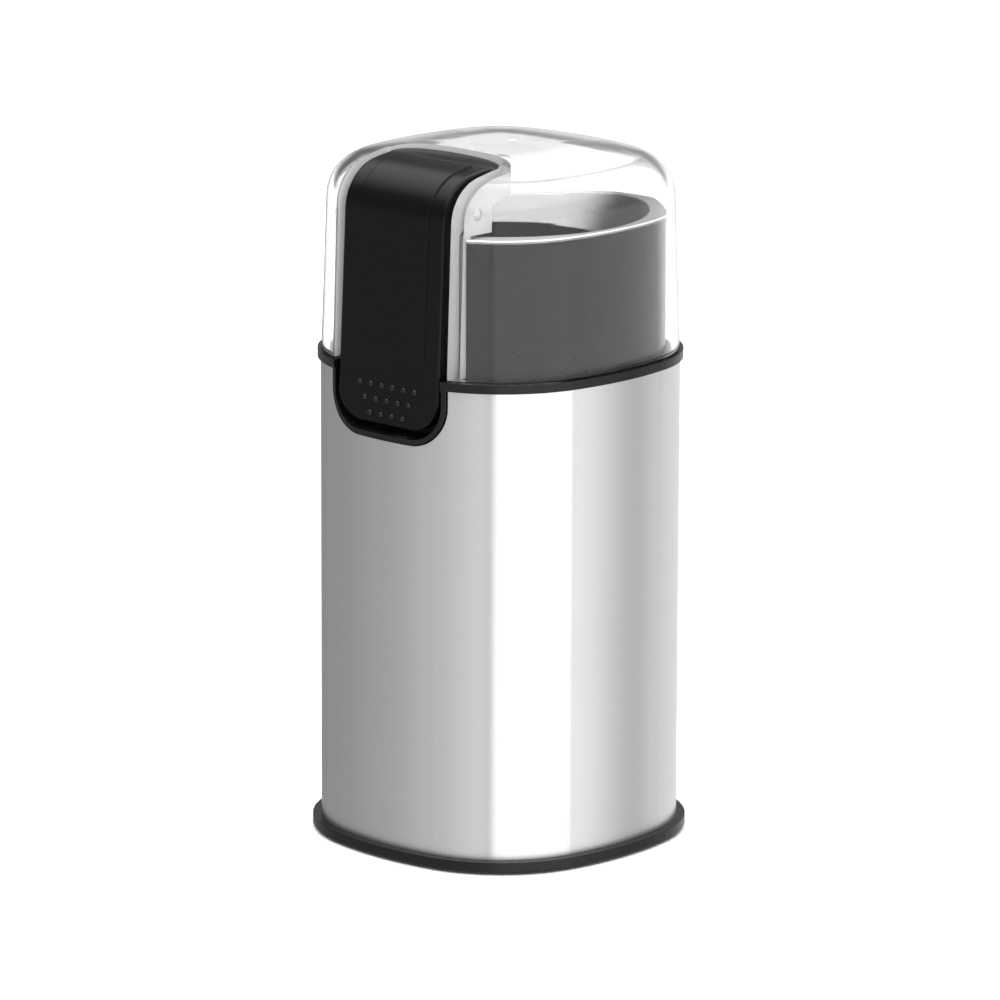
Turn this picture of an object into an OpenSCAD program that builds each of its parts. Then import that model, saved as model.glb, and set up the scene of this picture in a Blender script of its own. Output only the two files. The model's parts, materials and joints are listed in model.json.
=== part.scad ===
// Blade spice grinder: a rounded-square steel body, a clear lift-off lid and a press lever on the lid.
// Millimetres. Z is up, the table is z = 0 and the lever side faces -Y.

/* [Outline] */
// Width of the steel sleeve from face to face
body_w = 83.2; // [80:0.2:90]
// Radius of the sleeve's bulged faces
side_r = 81.1; // [74:0.1:95]
// Radius of the sleeve's corners
corner_r = 30.6; // [27:0.1:33]

/* [Base] */
// How far the rubber feet stand below the base ring
foot_proud = 1; // [0.6:0.1:2]
// Height of the base ring and thickness of the base cover
ring_h = 2.3; // [2:0.1:4]
// How far the base ring stands out past the sleeve
ring_proud = 2.2; // [1:0.1:3]
// Height of the rim inside the sleeve
base_rim_h = 5; // [4:0.5:8]
// Diameter of a rubber foot
foot_d = 9; // [7:0.5:11]
// Depth of a foot's seat in the base
foot_seat = 0.8; // [0.4:0.1:1.2]
// Width of a cooling slot
vent_w = 2.2; // [1.5:0.1:3]
// Number of cooling slots
vents = 7; // [5:1:8]

/* [Sleeve and housing] */
// Thickness of the steel sleeve
sleeve_t = 0.7; // [0.5:0.1:1]
// Height of the steel sleeve
sleeve_h = 117.9; // [115:0.1:124]
// Wall of the inner housing
skirt_t = 2; // [1.6:0.1:2.4]
// Height of the collar ring
collar_h = 2.2; // [1.6:0.1:3]
// How far the collar ring stands out past the sleeve
collar_proud = 0.8; // [0.4:0.1:1.6]
// Height of the cup surround above the collar
cup_h = 34.1; // [30:0.1:35]
// Wall of the cup surround and the bowl well
cup_t = 1.5; // [1.2:0.1:1.8]

/* [Lever pocket] */
// Rim of the pocket round the lever
pocket_t = 1.2; // [1:0.1:1.6]
// Gap between the lever's sides and the rim
lever_side = 1.15; // [0.8:0.05:1.5]
// Gap below the lever's foot, to the pocket's lower edge
lever_below = 3.6; // [2.5:0.1:5]
// Thickness of the pocket's back
pocket_floor_t = 1.5; // [1.2:0.1:2]

/* [Lid] */
// Height of the lid's top above the cup surround
lid_rise = 17.5; // [16:0.5:22]
// Lid wall
lid_t = 1.9; // [1.5:0.1:1.9]
// Draft of the lid wall from its foot to its shoulder
lid_draft = 1.3; // [0.8:0.1:1.4]
// Radius of the lid's shoulder
shoulder_r = 11; // [9:0.5:12]
// Radius of the lid's dome
dome_r = 82; // [76:1:100]
// Wall round the lever's channel in the lid
wall = 1.8; // [1.4:0.1:2]

/* [Lever] */
// Width of the lever
lever_w = 34.2; // [32:0.2:35]
// Depth of the lever at its sides
lever_t = 3.2; // [2.8:0.1:3.4]
// Thickness of the lever's face
lever_face = 2; // [1.6:0.1:2.2]
// Radius of the lever's lower corners
lever_r = 8.5; // [6:0.5:10]
// Radius of the lever's long edges
lever_edge = 1; // [0.6:0.1:1.2]
// Width of the raised panel
panel_w = 24; // [20:0.5:26]
// Height of the raised panel
panel_h = 0.35; // [0.2:0.05:0.5]
// Lean of the lever's face in degrees
lean_deg = 2.7; // [2.5:0.1:3]
// Radius of the lever's shoulder
turn_r = 12.5; // [12:0.1:13]
// Slope in degrees at which the shoulder passes into the lever's flatter top
top_slope = 12; // [11:0.5:14]
// Radius of the lever's top
top_r = 45; // [40:1:60]
// Angle that the lever's top spans
top_deg = 9; // [7:0.5:9]
// Diameter of the lever's pin
pin_d = 3; // [2.4:0.1:3.2]
// Swing of the lever in degrees
press_deg = 2.4; // [1.5:0.1:2.5]

/* [Bowl and blade] */
// Distance from the sleeve's face in to the bowl's bore
bowl_inset = 12.1; // [11.6:0.1:14]
// Depth of the bowl below its rim
bowl_depth = 40; // [36:0.5:40.5]
// Thickness of the bowl's steel
bowl_t = 0.6; // [0.5:0.1:0.7]
// Radius between the bowl's wall and floor
bowl_fillet = 8; // [5:0.5:10]
// Height of the funnel at the bowl's mouth
funnel_h = 9.5; // [7:0.5:12]
// Span of the blade
blade_span = 52; // [44:1:55]
// Width of a blade wing
blade_w = 9; // [7:0.5:11]
// Thickness of the blade
blade_t = 1.3; // [1:0.1:1.6]

/* [Motor] */
// Diameter of the motor shaft
shaft_d = 6; // [5:0.5:7]
// Height of the lamination stack
stack_h = 24; // [18:1:26]
// Length of the field stack along X
field_x = 54; // [52:1:56]
// Width of the field stack along Y
field_y = 46; // [44:1:48]
// Diameter of the armature
arm_d = 27.8; // [26:0.2:28]
// Air gap between the armature and the field
air_gap = 0.5; // [0.4:0.1:0.8]
// Slots in the armature
arm_slots = 12; // [8:2:14]
// Diameter of the commutator
comm_d = 19; // [17:0.5:20]
// Bars of the commutator
comm_bars = 16; // [12:2:24]
// Diameter of the cooling fan
fan_d = 40; // [34:1:42]
// Blades of the cooling fan
fan_blades = 9; // [7:1:12]

/* [Switch and inlet] */
// Diameter of the plunger rod
plunger_d = 5; // [4:0.5:5]
// Bore of the cord gland
gland_bore = 6.5; // [5:0.5:7]
// Height of the cord gland above the table
gland_z = 17; // [15:0.5:22]

/* [Fits] */
// Clearance between still parts that nest
fit = 0.15; // [0.1:0.01:0.2]
// Clearance between parts that move past each other
gap = 0.4; // [0.3:0.05:0.5]
// Radial running clearance of a shaft or pin
run = 0.05; // [0.03:0.01:0.08]

/* [Hidden] */
$fn = 96;
eps = 0.01;

// Half-widths of the nested outlines
sleeve_a = body_w / 2;
sleeve_in = sleeve_a - sleeve_t;
skirt_a = sleeve_in - fit;
skirt_in = skirt_a - skirt_t;
ring_a = sleeve_a + ring_proud;
collar_a = sleeve_a + collar_proud;
lid_a = sleeve_a - 0.2;
lid_fit = 0.3;
cup_a = lid_a - lid_t - lid_draft - lid_fit;
bowl_r = sleeve_a - bowl_inset;

// Centres of the face arcs and the corner arcs, shared by every outline
side_c = side_r - sleeve_a;
centre_run = side_r - corner_r;
corner_c = (sqrt(2 * centre_run * centre_run - side_c * side_c) - side_c) / 2;
core_in = centre_run - side_c;
span = atan2(corner_c, corner_c + side_c);
core_a = core_in + 0.5;

// Levels
sleeve_z = foot_proud + ring_h;
collar_z = sleeve_z + sleeve_h;
deck_z = collar_z + collar_h;
deck_t = 2.2;
cup_top = deck_z + cup_h;
rim_t = 0.9;
rim_top = cup_top + rim_t;
lid_top = cup_top + lid_rise;
bowl_z = rim_top - bowl_depth;
well_floor_t = 2;
well_z = bowl_z - bowl_t - gap - well_floor_t;
well_r = bowl_r + bowl_t + gap;

// The lever's foot reaches below the bowl, where it pushes the plunger
flange_r = plunger_d / 2 + 0.6;
plunger_z = well_z - flange_r - gap;
lever_z = plunger_z - 2;
pocket_z = lever_z - lever_below;
pocket_w = lever_w + 2 * (lever_side + pocket_t + fit);
pocket_r = lever_r + 2.1;
pocket_back = -(well_r + cup_t + 0.1);

// Lever: a face line that leans back, turns over the shoulder and ends in a flatter arc below the dome
lever_y = -(lid_a - 1);
turn_z = lid_top - 14.6;
turn_deg = 90 - lean_deg - top_slope;
turn_y = lever_y + (turn_r + (turn_z - lever_z) * sin(lean_deg)) / cos(lean_deg);
lean_run = (turn_z - lever_z) * cos(lean_deg) + (turn_y - lever_y) * sin(lean_deg);
top_y = turn_y + (top_r - turn_r) * sin(top_slope);
top_z = turn_z - (top_r - turn_r) * cos(top_slope);
witness = 0.03;
end_y = top_y - top_r * sin(top_slope - top_deg);
pivot = [turn_y - 4.5, turn_z + 3.3];
ear_r = pin_d / 2 + 1.1;
ear_t = 3.4;

// Where the lever's back stands at a height while the lever is out
function lever_back(z) = lever_y + (z - lever_z) * tan(lean_deg) + lever_t / cos(lean_deg);

// Channel in the lid behind the lever
channel_w = pocket_w - 0.4;
swing = (pivot.y - deck_z) * tan(press_deg);
channel_y = max(lever_back(pivot.y), lever_back(deck_z) + swing) + gap;
ledge_z = pivot.y - ear_r - gap;
ledge_cut = 2;
back_y = pivot.x + ear_r + gap;
rear_y = end_y + 0.8;
recess_w = channel_w + 2 * wall + 2 * gap;
recess_y = channel_y + wall + gap;
flat_y = recess_y + cup_t + 0.2;
mouth_r = cup_a - cup_t;

// Plunger and switch
press_travel = (pivot.y - plunger_z) * tan(press_deg);
plunger_tip = lever_back(plunger_z) + gap;
flange_y = pocket_back + 1.9;
flange_t = 1;
plate_y = flange_y + flange_t + press_travel + 3.6;
switch_plate_t = 1.6;
switch_size = [19, 9, 10];
switch_y = plate_y + switch_plate_t;
switch_z = well_z - gap - switch_size.z;
stand_off = press_travel + gap;
spring_wire = 0.5;

// Lid shoulder and dome
lid_z = deck_z + gap;
shoulder_a = lid_a - lid_draft - shoulder_r;
dome_lean = asin((shoulder_a - core_a) / (dome_r - shoulder_r));
shoulder_z = lid_top - dome_r + (dome_r - shoulder_r) * cos(dome_lean);

// Motor stack, from the fan at the bottom to the upper bearing
shaft_r = shaft_d / 2;
shaft_z = 12.5;
fan_z = 14;
fan_h = 7;
low_plate_z = 31;
plate_t = 3;
comm_z = 36.5;
comm_h = 13;
stack_z = 57;
stack_top = stack_z + stack_h;
coil_end = 7;
top_bar_z = stack_top + coil_end + 0.8;
bar_t = 2;
bolt_x = field_x / 2 - 2.5;
bolt_r = 1.4;
column_r = 2.4;
bore_r = arm_d / 2 + air_gap;
bearing_r = shaft_r + 3.4;
bearing_h = 8;
cup_bearing_t = 1.8;
blade_z = bowl_z + 5.6;
nut_h = 4.6;
mount_h = 2;
boss_z = top_bar_z + bar_t + mount_h;

// Base
screw_boss_r = 4;
corner_run = corner_c * sqrt(2) + skirt_in - core_in - screw_boss_r + 0.3;
boss_xy = corner_run / sqrt(2);
screw_r = 1.5;
head_r = 3.2;
foot_x = 16;
foot_y = ring_a - 10;
base_rim_top = sleeve_z + base_rim_h;
cap_size = [10, 26, 14];
cap_x = skirt_in - 2.75 - cap_size.x / 2;

// ---- Outlines ----

// One corner of the star that parts face arcs from corner arcs, on the front side
function spoke(side, reach) =
    [side * corner_c, -corner_c] + reach * [side * corner_c, -corner_c - side_c] / centre_run;
function turned(p, q) = [[1, 0, -1, 0][q] * p.x - [0, 1, 0, -1][q] * p.y,
    [0, 1, 0, -1][q] * p.x + [1, 0, -1, 0][q] * p.y];

// Rounded square with bulged faces; a is half the width from face to face
module outline(a) {
    intersection() {
        polygon([for (q = [0:3]) each [turned(spoke(-1, 1.5 * a), q), turned(spoke(1, 1.5 * a), q),
            turned([corner_c, -corner_c], q)]]);
        intersection_for (q = [0:3])
            rotate(90 * q) translate([0, side_c]) circle(a + side_c);
    }
    for (q = [0:3])
        rotate(90 * q) translate([corner_c, -corner_c]) circle(a - core_in);
}

module outline_wall(a_out, a_in, z0, z1) {
    translate([0, 0, z0]) linear_extrude(z1 - z0) difference() {
        outline(a_out);
        outline(a_in);
    }
}

// Carries a profile (x = half-width, y = height) round the outline
module sweep_outline() {
    for (q = [0:3]) rotate(90 * q) {
        translate([0, side_c]) rotate_extrude(angle = 2 * span, start = 270 - span)
            translate([side_c, 0]) children();
        translate([corner_c, -corner_c]) rotate_extrude(angle = 90 - 2 * span, start = 270 + span)
            translate([-core_in, 0]) children();
    }
}

// Extrudes a (y, z) shape along X, centred
module along_x(w) {
    rotate([90, 0, 90]) linear_extrude(w, center = true) children();
}

// Extrudes an (x, z) shape from y0 to y1
module along_y(y0, y1) {
    translate([0, y1, 0]) rotate([90, 0, 0]) linear_extrude(y1 - y0) children();
}

module rod_y(r, y0, y1, z) {
    translate([0, y0, z]) rotate([-90, 0, 0]) cylinder(r = r, h = y1 - y0);
}

module rod_x(r, x0, x1, yz) {
    translate([x0, yz.x, yz.y]) rotate([0, 90, 0]) cylinder(r = r, h = x1 - x0);
}

module tube(r_out, r_in, h) {
    difference() {
        cylinder(r = r_out, h = h);
        translate([0, 0, -1]) cylinder(r = r_in, h = h + 2);
    }
}

module round_rect(size, r) {
    square([size.x - 2 * r, size.y], center = true);
    square([size.x, size.y - 2 * r], center = true);
    for (x = [-1, 1], y = [-1, 1])
        translate([x * (size.x / 2 - r), y * (size.y / 2 - r)]) circle(r);
}

// Open compression spring along Z
module coil_spring(r, wire, turns, h) {
    sides = 6;
    rings = 12 * turns;
    lift = h - wire;
    path = [for (i = [0:rings]) let (a = 360 * turns * i / rings)
        [r * cos(a), r * sin(a), wire / 2 + lift * i / rings]];
    points = [for (i = [0:rings]) let (a = 360 * turns * i / rings) for (s = [0:sides - 1])
        let (b = 360 * s / sides)
        path[i] + wire / 2 * [cos(b) * cos(a), cos(b) * sin(a), sin(b)]];
    skin = [for (i = [0:rings - 1], s = [0:sides - 1]) let (t = (s + 1) % sides)
        each [[i * sides + s, (i + 1) * sides + s, (i + 1) * sides + t],
            [i * sides + s, (i + 1) * sides + t, i * sides + t]]];
    ends = [[for (s = [0:sides - 1]) s], [for (s = [sides - 1:-1:0]) rings * sides + s]];
    polyhedron(points, concat(skin, ends));
}

// ---- Casing ----

// U-shaped pocket outline seen from the front, grown by a clearance
module pocket_shape(grow, top) {
    w = pocket_w + 2 * grow;
    r = pocket_r + grow;
    z = pocket_z - grow;
    translate([-w / 2, z + r]) square([w, top - z - r]);
    translate([-w / 2 + r, z]) square([w - 2 * r, r + eps]);
    for (x = [-1, 1]) translate([x * (w / 2 - r), z + r]) circle(r);
}

module metal_sleeve() {
    color("silver") difference() {
        outline_wall(sleeve_a, sleeve_in, sleeve_z, collar_z);
        along_y(-60, -20) pocket_shape(fit, collar_z + 5);
        rod_y(gland_bore / 2 + 2.2, 20, 60, gland_z);
    }
}

module base_cover() {
    boss_h = base_rim_top - foot_proud;
    color("#1c1c1e") difference() {
        union() {
            translate([0, 0, foot_proud]) linear_extrude(ring_h) outline(ring_a);
            outline_wall(skirt_a, skirt_in, sleeve_z - eps, base_rim_top);
            for (x = [-1, 1], y = [-1, 1]) translate([x * boss_xy, y * boss_xy, foot_proud])
                cylinder(r = screw_boss_r, h = boss_h);
            for (y = [-1, 1]) translate([cap_x - 6, y * (cap_size.y / 2 + 1.3) - 0.7, sleeve_z - eps])
                cube([12, 1.4, 6]);
        }
        for (x = [-1, 1], y = [-1, 1]) {
            translate([x * boss_xy, y * boss_xy, 0]) cylinder(r = screw_r + 0.2, h = 30);
            translate([x * boss_xy, y * boss_xy, 0]) cylinder(r = head_r + 0.2, h = foot_proud + 4);
            translate([x * foot_x, y * foot_y, 0]) {
                cylinder(r = foot_d / 2 + fit, h = foot_proud + foot_seat);
                cylinder(r = 1.6 + fit, h = 20);
            }
        }
        for (i = [0:vents - 1]) translate([(i - (vents - 1) / 2) * 2.4 * vent_w, 0, 0])
            linear_extrude(20) round_rect([vent_w, 30], vent_w / 2 - eps);
    }
}

module rubber_feet() {
    color("#2b2b2b") for (x = [-1, 1], y = [-1, 1]) translate([x * foot_x, y * foot_y, 0]) {
        rotate_extrude() polygon([[0, 0], [foot_d / 2 - 0.6, 0], [foot_d / 2, 0.6],
            [foot_d / 2, foot_proud + foot_seat], [0, foot_proud + foot_seat]]);
        cylinder(r = 1.6, h = sleeve_z + 0.6);
        translate([0, 0, sleeve_z + 0.1]) cylinder(r1 = 2.3, r2 = 1.5, h = 1.6);
    }
}

module base_screws() {
    seat = foot_proud + 4;
    color("gainsboro") for (x = [-1, 1], y = [-1, 1]) translate([x * boss_xy, y * boss_xy, 0])
        difference() {
            union() {
                translate([0, 0, seat - 2.4]) cylinder(r = head_r, h = 2.4);
                translate([0, 0, seat - eps]) cylinder(r = screw_r, h = 14);
            }
            for (a = [0, 90]) rotate(a) translate([-2, -0.4, seat - 3]) cube([4, 0.8, 1.8]);
        }
}

// Flanged bush that the mains lead enters by, on the back of the sleeve
module cord_gland() {
    r = gland_bore / 2;
    out_y = sleeve_a + 0.05;
    in_y = skirt_in - 0.05;
    color("#202022") difference() {
        union() {
            rod_y(r + 2, in_y - 1, out_y + 1, gland_z);
            rod_y(r + 3.8, out_y, ring_a - 0.8, gland_z);
            rod_y(r + 3, ring_a - 0.8 - eps, ring_a, gland_z);
            rod_y(r + 3.6, in_y - 1.8, in_y - 0.6, gland_z);
        }
        rod_y(r, 20, 60, gland_z);
    }
}

module suppressor_capacitor() {
    color("#d8b13c") translate([cap_x, 0, sleeve_z + cap_size.z / 2]) {
        cube(cap_size, center = true);
        for (y = [-1, 1]) translate([0, y * 9, cap_size.z / 2]) cylinder(r = 0.5, h = 4);
    }
}

// Cut that clears the lid's channel at the front of the cup
module channel_recess(w, y) {
    translate([-w / 2, -60]) square([w, 60 + y]);
}

module cup_outline(a) {
    difference() {
        outline(a);
        channel_recess(recess_w, recess_y);
    }
}

module inner_housing() {
    cheek_t = 2;
    color("#19191b") difference() {
        union() {
            difference() {
                outline_wall(skirt_a, skirt_in, base_rim_top + 0.2, collar_z - fit);
                along_y(-60, pocket_back + fit) pocket_shape(fit, collar_z + 5);
            }
            // Deck and bowl well
            difference() {
                union() {
                    translate([0, 0, collar_z - fit - deck_t]) linear_extrude(deck_t) outline(skirt_a - eps);
                    translate([0, 0, well_z]) cylinder(r = well_r + cup_t, h = collar_z - fit - well_z);
                }
                translate([0, 0, well_z + well_floor_t]) cylinder(r = well_r, h = 60);
                translate([0, -50 + pocket_back + fit, 0])
                    cube([pocket_w + 2 * fit, 100, 400], center = true);
            }
            // Bosses for the base screws
            for (x = [-1, 1], y = [-1, 1]) translate([x * boss_xy, y * boss_xy, base_rim_top + 0.2])
                cylinder(r = screw_boss_r, h = 30);
            // Bosses that carry the motor
            for (x = [-1, 1]) translate([x * bolt_x, 0, boss_z])
                cylinder(r = 4, h = well_z - boss_z + eps);
            // Plate that takes the spring and holds the switch
            translate([-switch_size.x / 2 - fit - cheek_t, plate_y, switch_z - 0.5])
                cube([switch_size.x + 2 * fit + 2 * cheek_t, switch_plate_t, well_z - switch_z + 0.5 + eps]);
            for (x = [-1, 1]) translate([x * (switch_size.x / 2 + fit + cheek_t / 2), 0, 0])
                translate([-cheek_t / 2, switch_y - eps, switch_z - 0.5])
                    cube([cheek_t, stand_off + switch_size.y, well_z - switch_z + 0.5 + eps]);
        }
        translate([0, 0, well_z - 5]) cylinder(r = shaft_r + 5.2, h = 20);
        for (x = [-1, 1], y = [-1, 1]) translate([x * boss_xy, y * boss_xy, 0])
            cylinder(r = screw_r + 0.02, h = base_rim_top + 14);
        for (x = [-1, 1]) translate([x * bolt_x, 0, boss_z - 1]) cylinder(r = bolt_r + 0.02, h = 11);
        rod_y(2.1, plate_y - 4, switch_y + 1, plunger_z);
        rod_y(gland_bore / 2 + 2.2, 20, 60, gland_z);
    }
}

// Wall that stands on the deck inside the collar and carries the bowl's rim
module cup_surround() {
    deck_top = collar_z - fit;
    color("#19191b") difference() {
        translate([0, 0, deck_top]) linear_extrude(cup_top - deck_top) difference() {
            cup_outline(cup_a);
            difference() {
                outline(cup_a - cup_t);
                channel_recess(recess_w + 2 * cup_t, recess_y + cup_t);
            }
        }
        // Room for the bowl's funnel
        intersection() {
            translate([0, 0, rim_top - funnel_h])
                cylinder(r1 = bowl_r + bowl_t + fit, r2 = mouth_r + bowl_t + fit, h = funnel_h - 0.2);
            translate([-60, flat_y, 0]) cube([120, 120, 400]);
        }
    }
}

// Collar ring with the pocket that the lever's foot lies in
module top_collar() {
    grow = -fit;
    front = sleeve_a + 0.4;
    color("#151516") difference() {
        union() {
            outline_wall(collar_a, cup_a + fit, collar_z, deck_z);
            intersection() {
                along_y(-60, pocket_back) pocket_shape(grow, deck_z);
                translate([0, 0, pocket_z]) linear_extrude(deck_z - pocket_z) outline(front);
            }
            rod_y(plunger_d / 2 + 1.4, pocket_back - eps, flange_y - 0.3, plunger_z);
        }
        along_y(-60, pocket_back - pocket_floor_t) pocket_shape(grow - pocket_t, deck_z + 5);
        rod_y(plunger_d / 2 + run, -40, -20, plunger_z);
        translate([0, 0, well_z - gap]) cylinder(r = well_r + cup_t + 0.05, h = 80);
    }
}

// ---- Bowl and blade ----

module bowl_side(r, floor_z, top_r) {
    corner = [for (t = [-90:15:0]) [r - bowl_fillet + bowl_fillet * cos(t),
        floor_z + bowl_fillet + bowl_fillet * sin(t)]];
    rotate_extrude() polygon(concat([[0, floor_z]], corner,
        [[r, rim_top - funnel_h], [top_r, rim_top - 0.2], [top_r, rim_top + 1], [0, rim_top + 1]]));
}

module bowl() {
    r = bowl_r;
    color("lightgray") difference() {
        union() {
            intersection() {
                bowl_side(r + bowl_t, bowl_z - bowl_t, mouth_r + bowl_t);
                translate([-60, flat_y, 0]) cube([120, 120, rim_top]);
            }
            difference() {
                translate([0, 0, cup_top]) linear_extrude(rim_t) cup_outline(cup_a + 0.1);
                translate([0, 0, cup_top - 1]) cylinder(r = mouth_r, h = 5);
            }
            intersection() {
                translate([0, 0, cup_top]) linear_extrude(rim_t) cup_outline(cup_a);
                translate([-40, -60, 0]) cube([80, 60 + flat_y + bowl_t, 400]);
            }
        }
        intersection() {
            bowl_side(r, bowl_z, mouth_r);
            translate([-60, flat_y + bowl_t, 0]) cube([120, 120, 400]);
        }
        translate([0, 0, bowl_z - 5]) cylinder(r = shaft_r + 4, h = 10);
    }
}

// Rubber bush that closes the bowl's floor round the shaft
module shaft_seal() {
    z0 = well_z - 1;
    color("#3a3a3c") rotate_extrude() polygon([[shaft_r + run, z0], [shaft_r + 3.8, z0],
        [shaft_r + 3.8, bowl_z + 0.02], [shaft_r + 7, bowl_z + 0.02], [shaft_r + 6.2, bowl_z + 1.4],
        [shaft_r + 2.4, bowl_z + 2.6], [shaft_r + run, bowl_z + 2.6]]);
}

// One wing: a flat arm, a turned tip and a ground edge
module wing(lift) {
    tip = 9;
    arm = blade_span / 2 - tip * cos(lift);
    nose_r = blade_w * 0.8;
    difference() {
        union() {
            translate([0, -blade_w / 2, 0]) cube([arm, blade_w, blade_t]);
            translate([arm, 0, 0]) rod_y(blade_t / 2, -blade_w / 2, blade_w / 2, blade_t / 2);
            translate([arm, -blade_w / 2, blade_t / 2]) rotate([0, -lift, 0])
                intersection() {
                    translate([0, 0, -blade_t / 2]) cube([tip, blade_w, blade_t]);
                    translate([tip - nose_r, blade_w / 2, -5]) cylinder(r = nose_r, h = 10);
                }
        }
        translate([7, blade_w / 2 - 1.8, blade_t]) rotate([-35, 0, 0])
            translate([0, 0, -0.01]) cube([blade_span, 6, 6]);
    }
}

module blade() {
    color("whitesmoke") translate([0, 0, blade_z]) difference() {
        union() {
            wing(22);
            rotate(180) wing(-14);
            cylinder(r = blade_w / 2 + 1, h = blade_t);
            translate([0, 0, -2.2]) cylinder(r = shaft_r + 2, h = 2.4);
        }
        translate([0, 0, -5]) cylinder(r = shaft_r, h = 12);
    }
}

module blade_nut() {
    z0 = blade_z + blade_t;
    color("silver") translate([0, 0, z0]) difference() {
        union() {
            cylinder(r = 5.2, h = 1);
            cylinder(r = 4.9, h = nut_h - 1.4, $fn = 6);
            translate([0, 0, nut_h - 1.4 - eps])
                rotate_extrude() polygon([[0, 0], [4, 0], [3.4, 0.9], [2.2, 1.4], [0, 1.5]]);
        }
        translate([0, 0, -1]) cylinder(r = shaft_r, h = nut_h - 0.6);
    }
}

// ---- Motor ----

module rotor_shaft() {
    top = blade_z + blade_t + nut_h - 1.8;
    color("gray") rotate_extrude() polygon([[0, shaft_z], [shaft_r - 0.4, shaft_z],
        [shaft_r, shaft_z + 0.4], [shaft_r, top - 0.5], [shaft_r - 0.5, top], [0, top]]);
}

module bearing(z) {
    color("#b98a4a") translate([0, 0, z]) rotate_extrude() polygon([[shaft_r + run, 0],
        [bearing_r - 1.6, 0], [bearing_r - 0.4, bearing_h * 0.2], [bearing_r, bearing_h * 0.4],
        [bearing_r, bearing_h * 0.6], [bearing_r - 0.4, bearing_h * 0.8], [bearing_r - 1.6, bearing_h],
        [shaft_r + run, bearing_h]]);
}

module upper_bearing() {
    bearing(top_bar_z + bar_t);
}

module lower_bearing() {
    bearing(low_plate_z - bearing_h);
}

// Bridge across the top of the field stack with the cup of the upper bearing
module upper_bracket() {
    cup_r = bearing_r + cup_bearing_t;
    color("darkgray") difference() {
        union() {
            translate([0, 0, top_bar_z]) linear_extrude(bar_t) round_rect([2 * bolt_x + 9, 18], 4);
            translate([0, 0, top_bar_z]) cylinder(r = cup_r, h = bar_t + bearing_h);
            for (x = [-1, 1]) translate([x * bolt_x, 0, stack_top])
                cylinder(r = column_r, h = top_bar_z - stack_top + eps);
        }
        translate([0, 0, top_bar_z + bar_t]) cylinder(r = bearing_r + 0.02, h = 30);
        translate([0, 0, top_bar_z - 1]) cylinder(r = shaft_r + 1.5, h = 10);
        for (x = [-1, 1]) translate([x * bolt_x, 0, stack_top - 1]) cylinder(r = bolt_r + fit, h = 30);
        for (x = [-1, 1]) translate([x * 15, 0, top_bar_z - 1]) cylinder(r = 3, h = 10);
    }
}

// End frame with the lower bearing, the brush arms and four air windows
module lower_bracket() {
    plate_r = bolt_x + 4;
    color("#2d2d30") difference() {
        union() {
            translate([0, 0, low_plate_z]) cylinder(r = plate_r, h = plate_t);
            translate([0, 0, low_plate_z - bearing_h - 1])
                cylinder(r = bearing_r + cup_bearing_t, h = bearing_h + 1 + eps);
            for (x = [-1, 1]) translate([x * bolt_x, 0, low_plate_z])
                cylinder(r = column_r, h = stack_z - low_plate_z);
            for (y = [-1, 1]) translate([-4.5, y * (comm_d / 2 + 9) - 7, low_plate_z + plate_t - eps])
                cube([9, 14, 1.8]);
        }
        translate([0, 0, low_plate_z - bearing_h]) cylinder(r = bearing_r + 0.02, h = 30);
        translate([0, 0, low_plate_z - 20]) cylinder(r = shaft_r + 1.5, h = 30);
        for (x = [-1, 1]) translate([x * bolt_x, 0, low_plate_z - 1]) cylinder(r = bolt_r + fit, h = 40);
        for (a = [45:90:315]) rotate(a)
            translate([plate_r * 0.62, 0, low_plate_z - 1]) cylinder(r = 5.4, h = 10);
    }
}

// Two-pole lamination stack
module stator_core() {
    pole_w = 16;
    win = [field_x - 10, field_y - 9];
    color("slategray") translate([0, 0, stack_z]) difference() {
        linear_extrude(stack_h) difference() {
            round_rect([field_x, field_y], 9);
            difference() {
                square(win, center = true);
                for (x = [-1, 1]) translate([x * (win.x / 2 - 3.2), 0]) square([6.5, pole_w], center = true);
                intersection() {
                    circle(bore_r + 2.6);
                    for (a = [0, 180]) rotate(a) polygon([[0, 0], [30, -26], [30, 26]]);
                }
            }
            circle(bore_r);
        }
        for (x = [-1, 1]) translate([x * bolt_x, 0, -1]) cylinder(r = bolt_r + fit, h = stack_h + 2);
    }
}

// Two wound coils, one round each pole
module field_coils() {
    pole_w = 16;
    inner_x = bore_r + 2.9;
    outer_x = field_x / 2 - 5.3;
    high = stack_h + 0.6;
    color("#b5651d") for (x = [-1, 1]) translate([x * (inner_x + outer_x) / 2, 0, stack_z + stack_h / 2])
        rotate([90, 0, 90]) linear_extrude(outer_x - inner_x, center = true) difference() {
            round_rect([field_y - 11, stack_h + 2 * coil_end], 5.5);
            round_rect([pole_w + 0.6, high], 0.8);
        }
}

module slot_ring(r, w, depth, count, h) {
    for (i = [0:count - 1]) rotate(360 * i / count) translate([r - depth, -w / 2, -1])
        cube([depth + 2, w, h + 2]);
}

module armature_core() {
    color("lightslategray") translate([0, 0, stack_z]) difference() {
        cylinder(r = arm_d / 2, h = stack_h);
        translate([0, 0, -1]) cylinder(r = shaft_r, h = stack_h + 2);
        slot_ring(arm_d / 2, 2.6, 6, arm_slots, stack_h);
    }
}

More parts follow.
